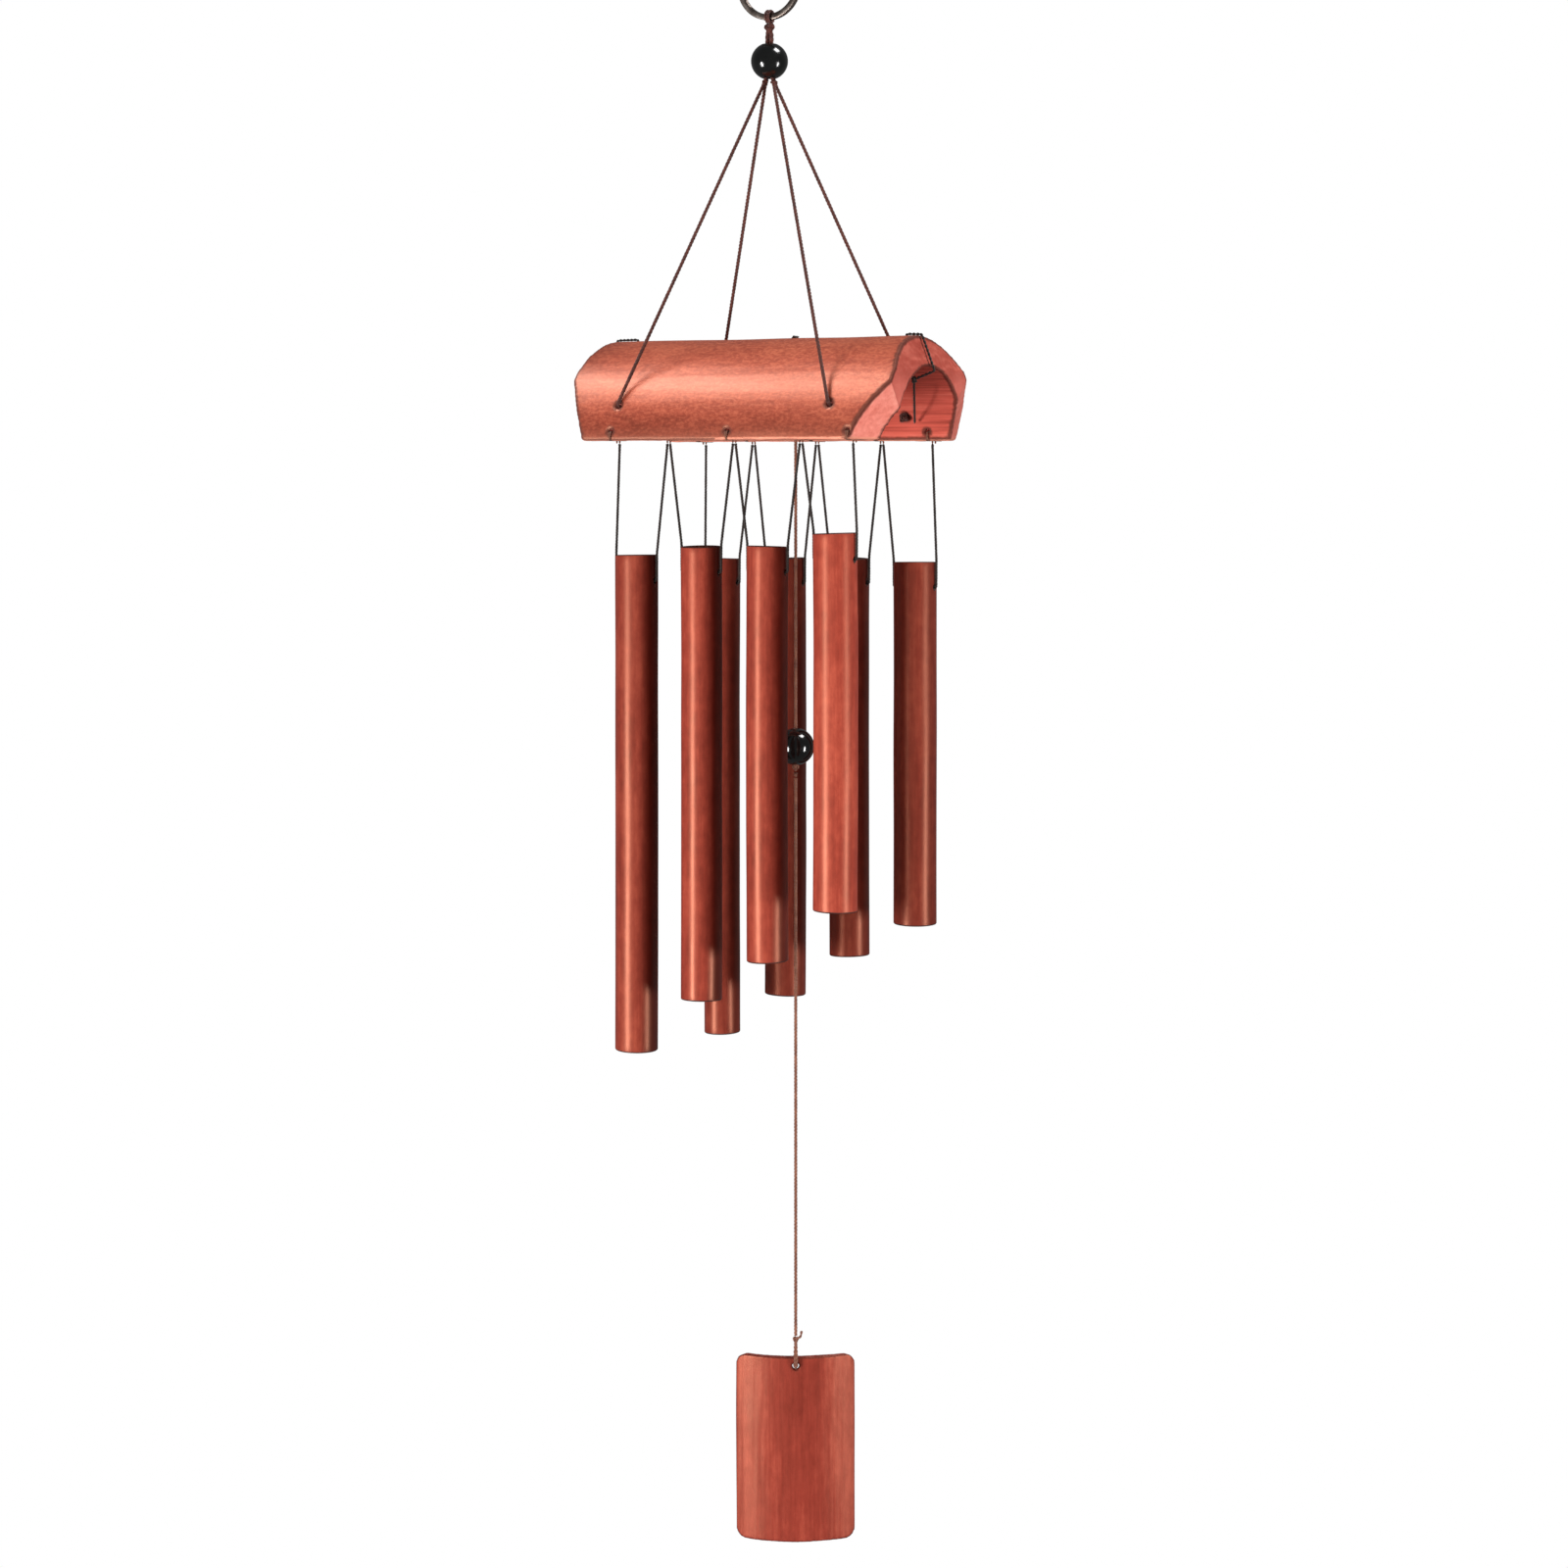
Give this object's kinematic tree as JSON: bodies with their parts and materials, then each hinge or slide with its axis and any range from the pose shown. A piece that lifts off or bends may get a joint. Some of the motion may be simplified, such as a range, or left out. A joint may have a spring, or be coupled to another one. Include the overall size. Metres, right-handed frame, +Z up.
{
  "type": "wind chime",
  "caption": "Hanging bamboo wind chime: half-culm roof on cords under a ring, two rows of graded tubes, a bead clapper on a string and a curved wind sail.",
  "frame": {"origin": "centre of the hanging ring's eye, where the chime is hung up", "axes": "+Z up, +X along the roof and the rows of tubes, towards the short tubes; +Y through the ring's eye, from the front row to the rear row"},
  "size_m": [0.1796, 0.1052, 0.7777],
  "materials": {
    "steel": "grey, worn bright on the edges",
    "black_bead": "polished black gloss",
    "bamboo_culm": "red-brown stain under satin varnish, pale cut ends",
    "bamboo_tube": "red-brown stain under satin varnish",
    "bamboo_slip": "red-brown stain under satin varnish",
    "brown_cord": "waxed braided cord",
    "dark_cord": "thin waxed cord",
    "tan_string": "twisted waxed string"
  },
  "bodies": {
    "ring": {"split_ring": "steel"},
    "hanger": {"hanger_loop": "brown_cord"},
    "top_bead": {"top_bead": "black_bead"},
    "roof": {"bamboo_roof": "bamboo_culm", "hanging_cord_left": "brown_cord", "hanging_cord_right": "brown_cord", "end_tie_right": "dark_cord", "end_tie_left": "dark_cord", "front_stitches": "brown_cord", "rear_stitches": "brown_cord", "clapper_ridge_knot": "dark_cord"},
    "front_cord_1": {"front_cord_1": "dark_cord"},
    "front_tube_1": {"front_tube_1": "bamboo_tube"},
    "front_cord_2": {"front_cord_2": "dark_cord"},
    "front_tube_2": {"front_tube_2": "bamboo_tube"},
    "front_cord_3": {"front_cord_3": "dark_cord"},
    "front_tube_3": {"front_tube_3": "bamboo_tube"},
    "front_cord_4": {"front_cord_4": "dark_cord"},
    "front_tube_4": {"front_tube_4": "bamboo_tube"},
    "rear_cord_1": {"rear_cord_1": "dark_cord"},
    "rear_tube_1": {"rear_tube_1": "bamboo_tube"},
    "rear_cord_2": {"rear_cord_2": "dark_cord"},
    "rear_tube_2": {"rear_tube_2": "bamboo_tube"},
    "rear_cord_3": {"rear_cord_3": "dark_cord"},
    "rear_tube_3": {"rear_tube_3": "bamboo_tube"},
    "rear_cord_4": {"rear_cord_4": "dark_cord"},
    "rear_tube_4": {"rear_tube_4": "bamboo_tube"},
    "clapper_tie": {"clapper_tie_knot": "tan_string"},
    "clapper_string": {"clapper_string": "tan_string"},
    "clapper_bead": {"clapper_bead": "black_bead"},
    "sail_hitch": {"sail_hitch_knot": "tan_string"},
    "sail_string": {"sail_string": "tan_string"},
    "sail_loop": {"sail_loop": "tan_string"},
    "sail": {"wind_sail": "bamboo_slip"}
  },
  "joints": [
    {"name": "ring_swing", "type": "hinge", "parent": "ring", "child": "hanger", "pos_m": [0, 0, -0.016], "axis": [1, 0, 0], "range_deg": [-35, 35]},
    {"name": "roof_sway", "type": "hinge", "parent": "hanger", "child": "roof", "pos_m": [0, 0, -0.0295], "axis": [0, 1, 0], "range_deg": [-20, 20]},
    {"name": "top_bead_spin", "type": "hinge", "parent": "roof", "child": "top_bead", "pos_m": [0, 0, -0.0376], "axis": [0, 0, 1], "continuous": true},
    {"name": "front_cord_1_swing", "type": "hinge", "parent": "roof", "child": "front_cord_1", "pos_m": [-0.0506, -0.042, -0.2257], "axis": [1, 0, 0], "range_deg": [-25, 7]},
    {"name": "front_tube_1_tilt", "type": "hinge", "parent": "front_cord_1", "child": "front_tube_1", "pos_m": [-0.0506, -0.042, -0.2915], "axis": [1, 0, 0], "range_deg": [-15, 9]},
    {"name": "front_cord_2_swing", "type": "hinge", "parent": "roof", "child": "front_cord_2", "pos_m": [-0.0142, -0.042, -0.2257], "axis": [1, 0, 0], "range_deg": [-25, 7]},
    {"name": "front_tube_2_tilt", "type": "hinge", "parent": "front_cord_2", "child": "front_tube_2", "pos_m": [-0.0142, -0.042, -0.287], "axis": [1, 0, 0], "range_deg": [-15, 9]},
    {"name": "front_cord_3_swing", "type": "hinge", "parent": "roof", "child": "front_cord_3", "pos_m": [0.0222, -0.042, -0.2257], "axis": [1, 0, 0], "range_deg": [-25, 7]},
    {"name": "front_tube_3_tilt", "type": "hinge", "parent": "front_cord_3", "child": "front_tube_3", "pos_m": [0.0222, -0.042, -0.2865], "axis": [1, 0, 0], "range_deg": [-15, 9]},
    {"name": "front_cord_4_swing", "type": "hinge", "parent": "roof", "child": "front_cord_4", "pos_m": [0.0586, -0.042, -0.2257], "axis": [1, 0, 0], "range_deg": [-25, 7]},
    {"name": "front_tube_4_tilt", "type": "hinge", "parent": "front_cord_4", "child": "front_tube_4", "pos_m": [0.0586, -0.042, -0.28], "axis": [1, 0, 0], "range_deg": [-15, 9]},
    {"name": "rear_cord_1_swing", "type": "hinge", "parent": "roof", "child": "rear_cord_1", "pos_m": [-0.0506, 0.042, -0.2257], "axis": [1, 0, 0], "range_deg": [-7, 25]},
    {"name": "rear_tube_1_tilt", "type": "hinge", "parent": "rear_cord_1", "child": "rear_tube_1", "pos_m": [-0.0506, 0.042, -0.295], "axis": [1, 0, 0], "range_deg": [-9, 15]},
    {"name": "rear_cord_2_swing", "type": "hinge", "parent": "roof", "child": "rear_cord_2", "pos_m": [-0.0142, 0.042, -0.2257], "axis": [1, 0, 0], "range_deg": [-7, 25]},
    {"name": "rear_tube_2_tilt", "type": "hinge", "parent": "rear_cord_2", "child": "rear_tube_2", "pos_m": [-0.0142, 0.042, -0.2945], "axis": [1, 0, 0], "range_deg": [-9, 15]},
    {"name": "rear_cord_3_swing", "type": "hinge", "parent": "roof", "child": "rear_cord_3", "pos_m": [0.0222, 0.042, -0.2257], "axis": [1, 0, 0], "range_deg": [-7, 25]},
    {"name": "rear_tube_3_tilt", "type": "hinge", "parent": "rear_cord_3", "child": "rear_tube_3", "pos_m": [0.0222, 0.042, -0.294], "axis": [1, 0, 0], "range_deg": [-9, 15]},
    {"name": "rear_cord_4_swing", "type": "hinge", "parent": "roof", "child": "rear_cord_4", "pos_m": [0.0586, 0.042, -0.2257], "axis": [1, 0, 0], "range_deg": [-7, 25]},
    {"name": "rear_tube_4_tilt", "type": "hinge", "parent": "rear_cord_4", "child": "rear_tube_4", "pos_m": [0.0586, 0.042, -0.2955], "axis": [1, 0, 0], "range_deg": [-9, 15]},
    {"name": "clapper_sway", "type": "hinge", "parent": "roof", "child": "clapper_tie", "pos_m": [0.0146, 0, -0.191], "axis": [0, 1, 0], "range_deg": [-15, 15]},
    {"name": "clapper_swing", "type": "hinge", "parent": "clapper_tie", "child": "clapper_string", "pos_m": [0.0146, 0, -0.19355], "axis": [1, 0, 0], "range_deg": [-6.5, 6.5]},
    {"name": "clapper_bead_spin", "type": "hinge", "parent": "clapper_string", "child": "clapper_bead", "pos_m": [0.0146, 0, -0.3727], "axis": [0, 0, 1], "continuous": true},
    {"name": "sail_string_sway", "type": "hinge", "parent": "clapper_string", "child": "sail_hitch", "pos_m": [0.0146, 0, -0.3863], "axis": [0, 1, 0], "range_deg": [-15, 15]},
    {"name": "sail_string_swing", "type": "hinge", "parent": "sail_hitch", "child": "sail_string", "pos_m": [0.0146, 0, -0.38855], "axis": [1, 0, 0], "range_deg": [-15, 15]},
    {"name": "sail_twist", "type": "hinge", "parent": "sail_string", "child": "sail_loop", "pos_m": [0.0146, 0, -0.6618], "axis": [0, 0, 1], "range_deg": [-180, 180]},
    {"name": "sail_rock", "type": "hinge", "parent": "sail_loop", "child": "sail", "pos_m": [0.0146, 0, -0.6746], "axis": [-0.4848, 0.8746, 0], "range_deg": [-40, 40]}
  ]
}
